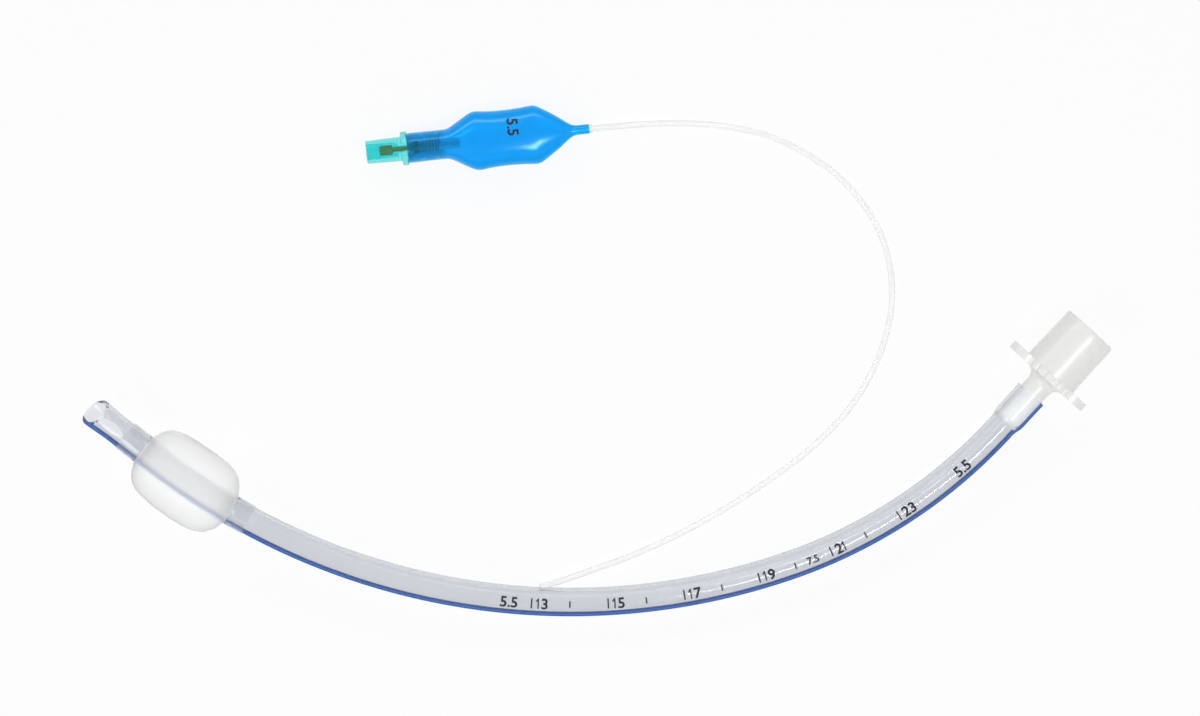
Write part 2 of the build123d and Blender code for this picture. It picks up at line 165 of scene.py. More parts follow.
def round_stations(pairs):
    """Stations of a round form from (distance, radius) pairs."""
    return [(distance, radius, radius) for distance, radius in pairs]


def steps(start, stop, spacing):
    """Evenly spaced distances from start to stop, both included."""
    count = max(1, round(abs(stop - start) / spacing))
    return [start + (stop - start) * index / count for index in range(count + 1)]


RIM_CORNER = 0.15 * MM


def rim(distance, outer, inner):
    """A tube's rounded rim at its far end, from its outside to its bore."""
    points = []
    for share in (0.3, 0.7, 1.0):
        turn = share * math.pi / 2
        back = distance - RIM_CORNER * (1 - math.sin(turn))
        points.append((back, outer - RIM_CORNER * (1 - math.cos(turn))))
    for share in (0.0, 0.3, 0.7):
        turn = (1 - share) * math.pi / 2
        back = distance - RIM_CORNER * (1 - math.sin(turn))
        points.append((back, inner + RIM_CORNER * (1 - math.cos(turn))))
    return points


def add_flow_map(piece, girth):
    """A UV map that runs along and around a straight form, for streaks that follow its bend."""
    layer = piece.data.uv_layers.new(name="flow")
    for loop in piece.data.loops:
        position = piece.data.vertices[loop.vertex_index].co
        turn = math.atan2(position.y, position.x) / math.tau
        layer.data[loop.index].uv = (position.z, turn * girth)


def apply_modifier(piece, kind, **settings):
    select_only(piece)
    modifier = piece.modifiers.new(kind.lower(), kind)
    for key, value in settings.items():
        setattr(modifier, key, value)
    bpy.ops.object.modifier_apply(modifier=modifier.name)


def combine(piece, cutter, operation="DIFFERENCE"):
    """Cut or join a second closed form, which is used up."""
    apply_modifier(piece, "BOOLEAN", operation=operation, object=cutter, solver="EXACT")
    bpy.data.objects.remove(cutter)


def smooth(piece, degrees=35):
    select_only(piece)
    bpy.ops.object.shade_smooth_by_angle(angle=math.radians(degrees))


def follow(piece, path):
    """Move each point of a straight form to its place, which path works out."""
    for vertex in piece.data.vertices:
        vertex.co = path(vertex.co.copy())
    piece.data.update()


def finish_piece(piece, material, body=BODY, replaced=()):
    piece.data.materials.clear()
    piece.data.materials.append(material)
    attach(piece, body)
    if replaced:
        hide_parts(*replaced)
    box = [round(value / MM, 1) for value in piece.dimensions]
    print(piece.name, "size", box, "faces", len(getattr(piece.data, "polygons", [])))


# %% [markdown]
# Clear plastic is mostly what it reflects and bends. A Glass shader could do that, but a
# Principled one also does the milky, frosted and opaque pieces, so one helper serves them
# all. Light that makes a shadow is let straight through in part, because thin clear walls
# cast only a faint shadow, and without that they would cast a dark one.

# %% A helper for materials


def make_material(
    name, color, roughness, shadow=1.0, bump=0.0, grain=600.0, stretch=None, absorb=None, **sockets
):
    """A Principled plastic with slight waviness; shadow is how much light it holds back."""
    material = bpy.data.materials.new(name)
    material.use_nodes = True
    nodes, links = material.node_tree.nodes, material.node_tree.links
    shader = nodes["Principled BSDF"]
    shader.inputs["Base Color"].default_value = (*color, 1)
    for socket, value in sockets.items():
        shader.inputs[socket.replace("_", " ").title().replace("Ior", "IOR")].default_value = value
    place = nodes.new("ShaderNodeTexCoord")
    mapping = nodes.new("ShaderNodeMapping")
    noise = nodes.new("ShaderNodeTexNoise")
    noise.inputs["Detail"].default_value = 3
    if stretch:
        links.new(place.outputs["UV"], mapping.inputs["Vector"])
        mapping.inputs["Scale"].default_value = (*stretch, 1)
        noise.inputs["Scale"].default_value = 1
    else:
        links.new(place.outputs["Object"], mapping.inputs["Vector"])
        noise.inputs["Scale"].default_value = grain
    links.new(mapping.outputs["Vector"], noise.inputs["Vector"])
    spread = nodes.new("ShaderNodeMapRange")
    spread.inputs["To Min"].default_value = roughness * 0.7
    spread.inputs["To Max"].default_value = roughness * 1.3
    links.new(noise.outputs["Fac"], spread.inputs["Value"])
    links.new(spread.outputs["Result"], shader.inputs["Roughness"])
    if bump:
        relief = nodes.new("ShaderNodeBump")
        relief.inputs["Strength"].default_value = 1
        relief.inputs["Distance"].default_value = bump
        links.new(noise.outputs["Fac"], relief.inputs["Height"])
        links.new(relief.outputs["Normal"], shader.inputs["Normal"])
    if absorb:
        volume = nodes.new("ShaderNodeVolumeAbsorption")
        volume.inputs["Color"].default_value = (*absorb[0], 1)
        volume.inputs["Density"].default_value = absorb[1]
        links.new(volume.outputs["Volume"], nodes["Material Output"].inputs["Volume"])
    if shadow < 1:
        path = nodes.new("ShaderNodeLightPath")
        clear = nodes.new("ShaderNodeBsdfTransparent")
        clear.inputs["Color"].default_value = (*[1 - shadow * (1 - value) for value in color], 1)
        mix = nodes.new("ShaderNodeMixShader")
        links.new(path.outputs["Is Shadow Ray"], mix.inputs["Fac"])
        links.new(shader.outputs["BSDF"], mix.inputs[1])
        links.new(clear.outputs["BSDF"], mix.inputs[2])
        links.new(mix.outputs["Shader"], nodes["Material Output"].inputs["Surface"])
    return material


clear_soft = make_material(
    "clear_soft_plastic", (0.87, 0.88, 0.9), 0.06, shadow=0.4,
    absorb=((0.3, 0.34, 0.42), 110), stretch=(18, 2600), transmission_weight=0.97, ior=1.36,
)
blue_strip = make_material(
    "blue_strip", (0.004, 0.11, 0.47), 0.5, bump=0.000005, grain=900, specular_ior_level=0.05,
)
frosted = make_material(
    "frosted_film", (0.94, 0.94, 0.93), 0.4, shadow=0.35, grain=900,
    transmission_weight=0.74, ior=1.1,
)
clear_collar = make_material(
    "clear_collar", (0.93, 0.94, 0.95), 0.12, shadow=0.3, grain=350,
    transmission_weight=0.95, ior=1.4,
)
milky = make_material(
    "milky_plastic", (0.855, 0.855, 0.82), 0.28, shadow=0.7, grain=500,
    subsurface_weight=0.6, subsurface_scale=0.002, subsurface_radius=(1, 1, 1),
)
clear_line = make_material(
    "clear_line_plastic", (0.9, 0.9, 0.89), 0.2, shadow=0.3, grain=700,
    transmission_weight=0.55, ior=1.3,
)
blue_film = make_material(
    "blue_film", (0.0, 0.6, 0.94), 0.16, shadow=0.6, bump=0.000004, grain=260,
    transmission_weight=0.92, ior=1.25, coat_weight=0.35, coat_roughness=0.2,
)
teal = make_material(
    "teal_plastic", (0.18, 0.8, 0.8), 0.08, shadow=0.5, grain=600,
    transmission_weight=0.97, ior=1.3,
)
clear_hard = make_material(
    "clear_hard_plastic", (0.6, 0.73, 0.77), 0.05, shadow=0.2, grain=600,
    transmission_weight=1.0, ior=1.45,
)
brown = make_material("brown_plastic", (0.95, 0.16, 0.015), 0.35, bump=0.00001, grain=900)
green = make_material("green_rubber", (0.004, 0.025, 0.02), 0.5, bump=0.00001, grain=1200)
steel = make_material("spring_steel", (0.35, 0.36, 0.38), 0.3, grain=1500, metallic=1.0)
ink = make_material("ink", (0.012, 0.012, 0.02), 0.45, grain=1500)
print("materials", sorted(material.name for material in bpy.data.materials))

# %% [markdown]
# The shaft is extruded soft tubing with a bore of 5.5 mm. Its tip is flared, cut at a slant
# and has a side eye opposite the slant; its other end is stretched over the connector. It is
# made straight, with its wall closed rim to rim, cut while it is straight, and bent last. A
# Curve modifier could bend it too, but the formula above puts every piece on the same bend.

# %% Shaft
BORE = 2.75 * MM
OUTER = 3.75 * MM
FLARE_OUTER = 4.05 * MM
FLARE_BORE = 3.1 * MM
FLARE_LAND = 3.0 * MM
FLARE_END = 10.5 * MM
STRETCH_START = SHAFT_LENGTH - 11.0 * MM
STRETCH_TAPER = 3.0 * MM
STRETCH_LIFT = 0.8 * MM
STRETCH_OUTER = 4.3 * MM
TIP_DETAIL = 15 * MM
TIP_SPACING = 0.75 * MM
SPACING = 2 * MM
END_SPACING = 0.5 * MM
BEVEL_ANGLE = math.radians(60)
BEVEL_TURN = math.radians(-23)
BEVEL_SETBACK = 1.3 * MM
EYE_MIDDLE = 9.0 * MM
EYE_LENGTH = 8.0 * MM
EYE_WIDTH = 3.2 * MM
EYE_FULLNESS = 0.86
EYE_BAR = (-12 * MM, -1 * MM)
CUTTER_SIZE = 30 * MM
EDGE = 0.35 * MM


def ease(value):
    value = min(max(value, 0), 1)
    return value * value * (3 - 2 * value)


def flare(distance):
    return 1 - ease((distance - FLARE_LAND) / (FLARE_END - FLARE_LAND))


def stretch(distance):
    return ease((distance - STRETCH_START) / STRETCH_TAPER)


def outer_radius(distance):
    return OUTER + (FLARE_OUTER - OUTER) * flare(distance) + (STRETCH_OUTER - OUTER) * stretch(distance)


def bore_radius(distance):
    return BORE + (FLARE_BORE - BORE) * flare(distance) + STRETCH_LIFT * stretch(distance)


def shaft_distances():
    """Close together at both ends, where the form changes, and further apart between."""
    at_tip = steps(0, TIP_DETAIL, TIP_SPACING)
    between = steps(TIP_DETAIL, STRETCH_START, SPACING)[1:]
    at_end = steps(STRETCH_START, SHAFT_LENGTH - EDGE, END_SPACING)[1:]
    return at_tip + between + at_end


outside = [(distance, outer_radius(distance)) for distance in shaft_distances()]
inside = [(distance, bore_radius(distance)) for distance in reversed(shaft_distances())]
end_rim = rim(SHAFT_LENGTH, STRETCH_OUTER, BORE + STRETCH_LIFT)
shaft_wall = outside + end_rim + inside + outside[:1]
shaft = loft("shaft_tube", round_stations(shaft_wall), 72, joined=True)


def bevel_cutter(setback=BEVEL_SETBACK):
    """A block whose upper face is the slanted cut across the tip, this far from its end."""
    bpy.ops.object.select_all(action="DESELECT")
    bpy.ops.mesh.primitive_cube_add(size=CUTTER_SIZE, location=(0, 0, 0))
    block = bpy.context.object
    slant = Matrix.Rotation(BEVEL_ANGLE - math.pi / 2, 4, "Y")
    turn = Matrix.Rotation(BEVEL_TURN, 4, "Z")
    middle = FLARE_OUTER / math.tan(BEVEL_ANGLE) + setback
    lower = Matrix.Translation((0, 0, -CUTTER_SIZE / 2))
    block.data.transform(Matrix.Translation((0, 0, middle)) @ turn @ slant @ lower)
    return block


def eye_cutter():
    """A rounded bar that cuts the eye through the wall opposite the slant."""
    stations = [(distance, EYE_LENGTH / 2, EYE_WIDTH / 2) for distance in EYE_BAR]
    bar = loft("eye_bar", stations, sides=48)
    for vertex in bar.data.vertices:
        vertex.co.x *= EYE_FULLNESS + (1 - EYE_FULLNESS) * abs(vertex.co.x) / (EYE_LENGTH / 2)
    lie = Matrix(((0, 0, 1, 0), (0, 1, 0, 0), (-1, 0, 0, 0), (0, 0, 0, 1)))
    turn = Matrix.Rotation(BEVEL_TURN, 4, "Z")
    bar.data.transform(Matrix.Translation((0, 0, EYE_MIDDLE)) @ turn @ lie)
    return bar


combine(shaft, bevel_cutter())
combine(shaft, eye_cutter())
apply_modifier(
    shaft, "BEVEL", width=EDGE, segments=3, limit_method="ANGLE", angle_limit=math.radians(40),
)
add_flow_map(shaft, math.tau * OUTER)
follow(shaft, on_bend)
smooth(shaft)
finish_piece(shaft, clear_soft, replaced=["shaft"])

# %% [markdown]
# The radiopaque line is a blue strip in the shaft's wall, on the outer side of the bend. It
# shows up on an X-ray. It is a flat bar, curved to the wall's own round, that nearly fills
# the wall and comes through to its surface, so that it shows as the broad blue edge of the
# real tube. Painted on, it would have no depth, and deep in the wall it would be only a pale
# thread, because clear plastic reflects most at its edge.

# %% Radiopaque line
STRIP_RADIUS = 3.3 * MM
STRIP_HALF_THICK = 0.43 * MM
STRIP_HALF_WIDE = 1.2 * MM
STRIP_LEAN = math.radians(14)
STRIP_PROUD = 0.012 * MM
STRIP_SHARE = 0.84
STRIP_INSET = 0.1 * MM
STRIP_BEHIND_CUT = 0.12 * MM
BOXINESS = 1.4


def squared(share):
    """Push a point of a round section out to its box, for a flat bar with small corners."""
    return max(-1, min(1, BOXINESS * share))


def in_wall(position):
    """Carry a point of the flat bar to its place in the straight tube's wall."""
    distance = position.z
    thick = STRIP_SHARE * (outer_radius(distance) - bore_radius(distance))
    depth = thick * (1 - squared(position.y / STRIP_HALF_THICK)) / 2
    radius = outer_radius(distance) + STRIP_PROUD - depth
    turn = STRIP_LEAN + squared(position.x / STRIP_HALF_WIDE) * STRIP_HALF_WIDE / STRIP_RADIUS
    return Vector((radius * math.sin(turn), radius * math.cos(turn), distance))


strip_distances = shaft_distances()[:-1] + [SHAFT_LENGTH - STRIP_INSET]
strip_stations = [(distance, STRIP_HALF_WIDE, STRIP_HALF_THICK) for distance in strip_distances]
strip = loft("blue_line", strip_stations, 28)
follow(strip, in_wall)
combine(strip, bevel_cutter(BEVEL_SETBACK + STRIP_BEHIND_CUT))
follow(strip, on_bend)
smooth(strip, 60)
finish_piece(strip, blue_strip, replaced=["radiopaque_line"])

# %% [markdown]
# The cuff is a thin balloon with a short collar bonded to the shaft at each end. Solidify
# could thicken a single skin, but the film and the collars differ in thickness and the bore
# has to fit the shaft. So it is turned as one closed wall, out along the outside and back
# along the inside. The collars' faces then get a clearer material than the film.

# %% Cuff
CUFF_FILM = 0.12 * MM
COLLAR_RADIUS = 4.03 * MM
COLLAR_BORE = 3.78 * MM
FIRST_COLLAR = (13.2 * MM, 18.6 * MM)
LAST_COLLAR = (47.4 * MM, 52.0 * MM)
COLLAR_STEP = 0.9 * MM
CUFF_OUTLINE = [
    (19.0, 4.03), (19.4, 4.5), (19.8, 5.4), (20.3, 6.5), (20.9, 7.4), (21.7, 8.2), (22.7, 8.9),
    (24.0, 9.45), (25.7, 9.85), (28.0, 10.15), (31.0, 10.32), (34.4, 10.35), (37.5, 10.25),
    (40.0, 9.95), (42.0, 9.4), (43.6, 8.6), (44.7, 7.6), (45.5, 6.5), (46.1, 5.3), (46.5, 4.5),
    (46.9, 4.03),
]


def wall_between(points, film):
    """The same outline moved inwards by the film's thickness."""
    inner = []
    for index, (distance, radius) in enumerate(points):
        before = points[max(index - 1, 0)]
        after = points[min(index + 1, len(points) - 1)]
        run, rise = after[0] - before[0], after[1] - before[1]
        length = math.hypot(run, rise)
        inner_radius = max(radius - film * run / length, COLLAR_BORE)
        inner.append((distance + film * rise / length, inner_radius))
    return inner


cuff_outside = [(distance * MM, radius * MM) for distance, radius in CUFF_OUTLINE]
cuff_inside = wall_between(cuff_outside, CUFF_FILM)
first_collar = [(distance, COLLAR_RADIUS) for distance in steps(*FIRST_COLLAR, COLLAR_STEP)]
last_collar = [(distance, COLLAR_RADIUS) for distance in steps(*LAST_COLLAR, COLLAR_STEP)]
last_bore = [(distance, COLLAR_BORE) for distance in steps(*LAST_COLLAR[::-1], COLLAR_STEP)]
first_bore = [(distance, COLLAR_BORE) for distance in steps(*FIRST_COLLAR[::-1], COLLAR_STEP)]
going_out = first_collar + cuff_outside + last_collar
coming_back = last_bore + cuff_inside[::-1] + first_bore
cuff_wall = going_out + coming_back + first_collar[:1]
cuff = loft("cuff_balloon", round_stations(cuff_wall), 96, joined=True)
cuff_start, cuff_stop = cuff_outside[0][0], cuff_outside[-1][0]
collar_faces = [
    face.index for face in cuff.data.polygons if not cuff_start < face.center.z < cuff_stop
]
follow(cuff, on_bend)
smooth(cuff, 50)
finish_piece(cuff, frosted, replaced=["cuff"])
cuff.data.materials.append(clear_collar)
for index in collar_faces:
    cuff.data.polygons[index].material_index = 1

# %% [markdown]
# The connector is one moulding of milky plastic: a nipple in the shaft's end, a flange with
# two ears and a grooved rim, and the 15 mm cone that every breathing circuit fits. The body
# is turned, the flange is a shaped plate joined to it, and the bore is cut through both. The
# ears could be lobes of their own, but a disc whose rim is moved to one formula's outline
# keeps the ears, the rim and the grooves in a single clean plate.

# %% Connector
NIPPLE = 3.53 * MM
NIPPLE_TIP = 3.02 * MM
NIPPLE_DEPTH = 10 * MM
NIPPLE_TAPER = 2 * MM
NIPPLE_BORE = 2.6 * MM
NECK_ROUND = 2.5 * MM
FLANGE_FACE = 5.3 * MM
FLANGE_THICK = 2.2 * MM
CONE_BASE = FLANGE_FACE + FLANGE_THICK
CONE_END = 22.8 * MM
CONE_MOUTH = 7.55 * MM
CONE_ROOT = 7.74 * MM
CONE_WALL = 1.25 * MM
CONE_STEP = 2 * MM
MOUTH_ROUND = 0.4 * MM
MOUTH_CHAMFER = 0.3 * MM
CUT_PAST = 2 * MM
FLANGE_RADIUS = 8.2 * MM
FLANGE_EDGE = 0.5 * MM
EAR_REACH = 12.6 * MM
EAR_HALF = 4.5 * MM
GROOVES = 20
GROOVE_RADIUS = 0.62 * MM
GROOVES_STOP = FLANGE_RADIUS + 1.2 * MM


def on_connector(position):
    """From the connector's own axis, which starts at the shaft's end, to its place."""
    point, viewer, outer, forward = bend_frame(SHAFT_LENGTH)
    return point + viewer * position.x + outer * position.y + forward * position.z


def neck_fillet():
    """The quarter round between the neck and the flange."""
    start = FLANGE_FACE - NECK_ROUND
    points = []
    for index in range(9):
        turn = index / 8 * math.pi / 2
        rise = NECK_ROUND * (1 - math.cos(turn))
        points.append((start + NECK_ROUND * math.sin(turn), NIPPLE + rise))
    return points


def cone_radius(distance):
    """The cone narrows evenly from its root at the flange to its mouth."""
    return CONE_ROOT + (CONE_MOUTH - CONE_ROOT) * (distance - CONE_BASE) / (CONE_END - CONE_BASE)


nipple_outline = [
    (-NIPPLE_DEPTH, NIPPLE_TIP),
    (-NIPPLE_DEPTH + 0.2 * MM, NIPPLE_TIP + 0.13 * MM),
    (-NIPPLE_DEPTH + NIPPLE_TAPER, NIPPLE),
]
cone_start = [(CONE_BASE - 0.6 * MM, CONE_ROOT - 0.9 * MM), (CONE_BASE - 0.3 * MM, CONE_ROOT)]
cone_distances = steps(CONE_BASE, CONE_END - MOUTH_ROUND, CONE_STEP)
cone_outline = [(distance, cone_radius(distance)) for distance in cone_distances]
mouth_outline = [
    (CONE_END - 0.12 * MM, CONE_MOUTH - 0.12 * MM),
    (CONE_END, CONE_MOUTH - MOUTH_ROUND),
]
body_outline = nipple_outline + neck_fillet() + cone_start + cone_outline + mouth_outline
mouth_bore = CONE_MOUTH - CONE_WALL
bore_outline = [
    (-NIPPLE_DEPTH - CUT_PAST, NIPPLE_BORE),
    (6.0 * MM, NIPPLE_BORE),
    (9.0 * MM, CONE_ROOT - CONE_WALL),
    (CONE_END - MOUTH_CHAMFER, mouth_bore),
    (CONE_END + 0.05 * MM, mouth_bore + MOUTH_CHAMFER),
    (CONE_END + CUT_PAST, mouth_bore + MOUTH_CHAMFER),
]


def flange_reach(turn):
    """How far the flange's rim is from the axis, in this direction; the ears lie along y."""
    side, ear = abs(math.cos(turn)), abs(math.sin(turn))
    nose_centre = EAR_REACH - EAR_HALF
    if ear * EAR_HALF > side * nose_centre:
        reach = nose_centre * ear + math.sqrt(EAR_HALF ** 2 - (nose_centre * side) ** 2)
    else:
        reach = EAR_HALF / max(side, 1e-6)
    reach = max(reach, FLANGE_RADIUS)
    pitch = math.tau / GROOVES
    off_groove = reach * abs((turn + pitch / 2) % pitch - pitch / 2)
    if reach < GROOVES_STOP and off_groove < GROOVE_RADIUS:
        reach -= math.sqrt(GROOVE_RADIUS ** 2 - off_groove ** 2)
    return reach


flange = loft("flange", [(FLANGE_FACE, 1, 1), (CONE_BASE, 1, 1)], 720)
for vertex in flange.data.vertices:
    turn = math.atan2(vertex.co.y, vertex.co.x)
    reach = flange_reach(turn)
    vertex.co.x = reach * math.cos(turn)
    vertex.co.y = reach * math.sin(turn)
apply_modifier(
    flange, "BEVEL", width=FLANGE_EDGE, segments=4, limit_method="ANGLE",
    angle_limit=math.radians(60),
)
connector = loft("connector_moulding", round_stations(body_outline), 128)
combine(connector, flange, "UNION")
combine(connector, loft("bore_bar", round_stations(bore_outline), 96))
follow(connector, on_connector)
smooth(connector, 32)
finish_piece(connector, milky, replaced=["connector"])

# %% [markdown]
# The inflation line leaves the shaft at its inner side, comes down to the table and runs in
# one wide loop to the pilot balloon. A lofted mesh would do as well, but a NURBS curve with
# a round bevel keeps the route in a few points that are easy to move.

# %% Inflation line
NOTCH = Vector((-15.5402, -32.4432, 4.8656)) * MM
LINE_RADIUS = 0.825 * MM
PILOT_HEADING = math.radians(186.1)
BEAD_FACE = Vector((-1.9402, 87.5568, 4.425)) * MM
LINE_ROUTE = [
    (15.5, 4.8, 2.2),
    (31.5, 11.2, 0.825),
    (45.0, 18.2, 0.825),
    (59.6, 27.4, 0.825),
    (72.8, 37.4, 0.825),
    (84.0, 49.7, 0.825),
    (91.3, 65.6, 0.825),
    (92.9, 80.5, 0.825),
    (88.7, 95.7, 0.825),
    (77.4, 109.3, 0.825),
    (61.5, 118.3, 0.825),
    (46.5, 121.3, 1.2),
    (32.0, 121.5, 3.2),
]
LINE_STRAIGHT = 6.0 * MM
LINE_IN_NECK = 5.3 * MM
pilot_along = Vector((math.cos(PILOT_HEADING), math.sin(PILOT_HEADING), 0))
route = [NOTCH]
route += [Vector((NOTCH.x + x * MM, NOTCH.y + y * MM, z * MM)) for x, y, z in LINE_ROUTE]
route.append(BEAD_FACE - pilot_along * LINE_STRAIGHT)
route.append(BEAD_FACE + pilot_along * LINE_IN_NECK)

line_data = bpy.data.curves.new("inflation_tube", "CURVE")
line_data.dimensions = "3D"
spline = line_data.splines.new("NURBS")
spline.points.add(len(route) - 1)
for point, place in zip(spline.points, route):
    point.co = (*place, 1)
spline.order_u = 3
spline.use_endpoint_u = True
spline.resolution_u = 16
line_data.bevel_depth = LINE_RADIUS
line_data.bevel_resolution = 8
line_data.use_fill_caps = True
line = bpy.data.objects.new("inflation_tube", line_data)
bpy.context.collection.objects.link(line)
finish_piece(line, clear_line, replaced=["inflation_line"])

# %% [markdown]
# The pilot balloon is two films of blue plastic, welded round the edge and blown up. It has
# a sleeve at one end for the valve and a neck at the other for the line. Cloth with pressure
# could blow up two flat films, but a loft gives the real outline directly: one closed wall
# through ovals, wide at its corners and a little pinched between them.

# %% Pilot balloon
PILOT_LENGTH = 47.8 * MM
BEAD_LENGTH = 0.7 * MM
pilot_start = BEAD_FACE + pilot_along * (BEAD_LENGTH + PILOT_LENGTH)
FILM = 0.25 * MM
PILOT_OUTLINE = [
    (0.0, 3.85, 3.85), (0.25, 3.95, 3.95), (3.0, 3.92, 3.92), (7.0, 3.87, 3.87),
    (10.2, 3.82, 3.84), (11.2, 3.85, 4.15), (13.0, 3.95, 5.25), (15.2, 4.0, 6.55),
    (16.8, 4.0, 7.42), (17.8, 4.0, 7.75), (19.0, 4.05, 7.72), (21.5, 4.2, 7.4),
    (24.3, 4.3, 7.28), (27.5, 4.3, 7.3), (30.5, 4.2, 7.45), (32.8, 4.0, 7.7),
    (34.0, 3.85, 7.72), (35.2, 3.6, 7.1), (37.5, 3.1, 5.6), (40.0, 2.4, 3.95),
    (42.0, 1.7, 2.3), (43.2, 1.38, 1.5), (44.2, 1.28, 1.28), (46.0, 1.28, 1.28),
    (47.8, 1.28, 1.28),
]


def on_pilot(position):
    """From the balloon's axis, which starts at its sleeve, to its place on the table."""
    forward = -pilot_along
    side = forward.cross(Vector((0, 0, 1)))
    return pilot_start + Vector((0, 0, position.x)) + side * position.y + forward * position.z


pilot_outside = [(d * MM, x * MM, y * MM) for d, x, y in PILOT_OUTLINE]
pilot_inside = [(d, x - FILM, y - FILM) for d, x, y in pilot_outside]
pilot_wall = pilot_outside + pilot_inside[::-1] + pilot_outside[:1]
pilot = loft("pilot_film", pilot_wall, 96, joined=True)
apply_modifier(pilot, "SUBSURF", levels=1, render_levels=1)
follow(pilot, on_pilot)
smooth(pilot, 60)
finish_piece(pilot, blue_film, replaced=["pilot_balloon"])

# %% [markdown]
# The valve's pieces and the ring of adhesive are small turned parts whose solids have the
# right shape, so they stay and only get their finish. The valve's spring is the exception.

# %% Finish of the small turned pieces
CAD_FINISHES = {
    "syringe_port": teal,
    "valve_housing": clear_hard,
    "valve_plunger": brown,
    "valve_seal": green,
    "bond_bead": clear_line,
}
for name, material in CAD_FINISHES.items():
    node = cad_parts[name]
    node.data.materials.clear()
    node.data.materials.append(material)
    print(name, "finish", material.name)

# %% [markdown]
# The spring shortens when the plunger is pushed in, so it is a piece of its own here. A
# bevelled curve could follow a helix, but a Screw modifier needs only the wire's round
# section, the turns and the length. The ends are then capped.

# %% Valve spring
SPRING_OUTER = 1.55 * MM
WIRE = 0.35 * MM
WIRE_SIDES = 14
SPRING_TURNS = 7
STEPS_A_TURN = 36
valve_axis = -pilot_along
spring_low, spring_high = (Vector(corner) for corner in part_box("valve_spring"))
spring_middle = (spring_low + spring_high) / 2
spring_span = spring_high.x - spring_low.x - 2 * SPRING_OUTER * abs(valve_axis.y)
SPRING_LENGTH = spring_span / valve_axis.x


def on_valve(position):
    """From the spring's own middle and axis to its place in the valve."""
    up = Vector((0, 0, 1))
    side = valve_axis.cross(up)
    return spring_middle + valve_axis * position.z + up * position.x + side * position.y


bpy.ops.object.select_all(action="DESELECT")
bpy.ops.mesh.primitive_circle_add(vertices=WIRE_SIDES, radius=WIRE / 2, fill_type="NOTHING")
spring = bpy.context.object
spring.name = "coil_spring"
stand_wire = Matrix.Rotation(math.pi / 2, 4, "X")
wire_start = (SPRING_OUTER - WIRE / 2, 0, (WIRE - SPRING_LENGTH) / 2)
spring.data.transform(Matrix.Translation(wire_start) @ stand_wire)
apply_modifier(
    spring, "SCREW", angle=SPRING_TURNS * math.tau, screw_offset=SPRING_LENGTH - WIRE,
    steps=SPRING_TURNS * STEPS_A_TURN, render_steps=SPRING_TURNS * STEPS_A_TURN,
)
bpy.ops.object.mode_set(mode="EDIT")
bpy.ops.mesh.select_all(action="DESELECT")
bpy.ops.mesh.select_non_manifold()
bpy.ops.mesh.edge_face_add()
bpy.ops.mesh.select_all(action="SELECT")
bpy.ops.mesh.normals_make_consistent(inside=False)
bpy.ops.object.mode_set(mode="OBJECT")
follow(spring, on_valve)
smooth(spring, 50)
finish_piece(spring, steel, replaced=["valve_spring"])
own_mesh(spring)

# %% [markdown]
# The depth marks are printed on the side that faces the camera: a tick for each centimetre
# from 13 to 23, and a number at every second one. A texture could carry them, but real
# shapes stay crisp close up. Each numeral is a text object made a mesh, apart from the 1.
# All are laid flat, joined, sliced and wrapped round the shaft.

# %% Print
PRINT_HEIGHT = 2.75 * MM
SMALL_PRINT = 1.9 * MM
BOLD = 0.035
GLYPH_HEIGHT = 0.7
INK_LIFT = 0.03 * MM
INK_THICK = 0.02 * MM
CENTIMETRE = 10 * MM
MARKS = range(13, 24)
TICK_BEFORE = 0.6 * MM
TICK_WIDTH = 0.4 * MM
TALL_TICK = 2.7 * MM
LOW_TICK = 1.7 * MM
TICK_TO_NUMBER = 1.2 * MM
ADVANCE = {".": 0.3, "1": 0.46}
WIDE_ADVANCE = 0.72
MARK_SLICE = 0.25 * MM
SIZE_PRINTS = [
    ("5.5", 121.1 * MM, PRINT_HEIGHT),
    ("7.5", 202.6 * MM, SMALL_PRINT),
    ("5.5", 247.6 * MM, PRINT_HEIGHT),
]
ONE_OUTLINE = [
    (0.26, 0.5), (0.26, -0.5), (0.13, -0.5), (0.13, 0.24), (-0.04, 0.12), (-0.04, 0.26),
    (0.16, 0.5),
]


def on_shaft(position):
    """Wrap the flat print round the shaft: its x runs along, its y up towards the inner bend."""
    turn = position.y / OUTER
    lift = OUTER + INK_LIFT + position.z
    return on_bend(Vector((lift * math.cos(turn), -lift * math.sin(turn), position.x)))


def slice_flat(piece, reach, spacing, axis):
    """Cut a flat mesh into narrow strips, so that it can bend without sagging."""
    select_only(piece)
    bpy.ops.object.mode_set(mode="EDIT")
    for cut in steps(-reach, reach, spacing):
        place = [0, 0, 0]
        place[axis] = cut
        normal = [0, 0, 0]
        normal[axis] = 1
        bpy.ops.mesh.select_all(action="SELECT")
        bpy.ops.mesh.bisect(plane_co=place, plane_no=normal)
    bpy.ops.object.mode_set(mode="OBJECT")


def join_all(pieces, name):
    bpy.ops.object.select_all(action="DESELECT")
    for piece in pieces:
        piece.select_set(True)
    bpy.context.view_layer.objects.active = pieces[0]
    bpy.ops.object.join()
    bpy.context.object.name = name
    return bpy.context.object


def flat_one(height):
    """The numeral 1 with its flag, which Blender's own font leaves out."""
    corners = [(x * height, y * height, 0) for x, y in ONE_OUTLINE]
    mesh = bpy.data.meshes.new("one")
    mesh.from_pydata(corners, [], [range(len(corners))])
    piece = bpy.data.objects.new("one", mesh)
    bpy.context.collection.objects.link(piece)
    return piece


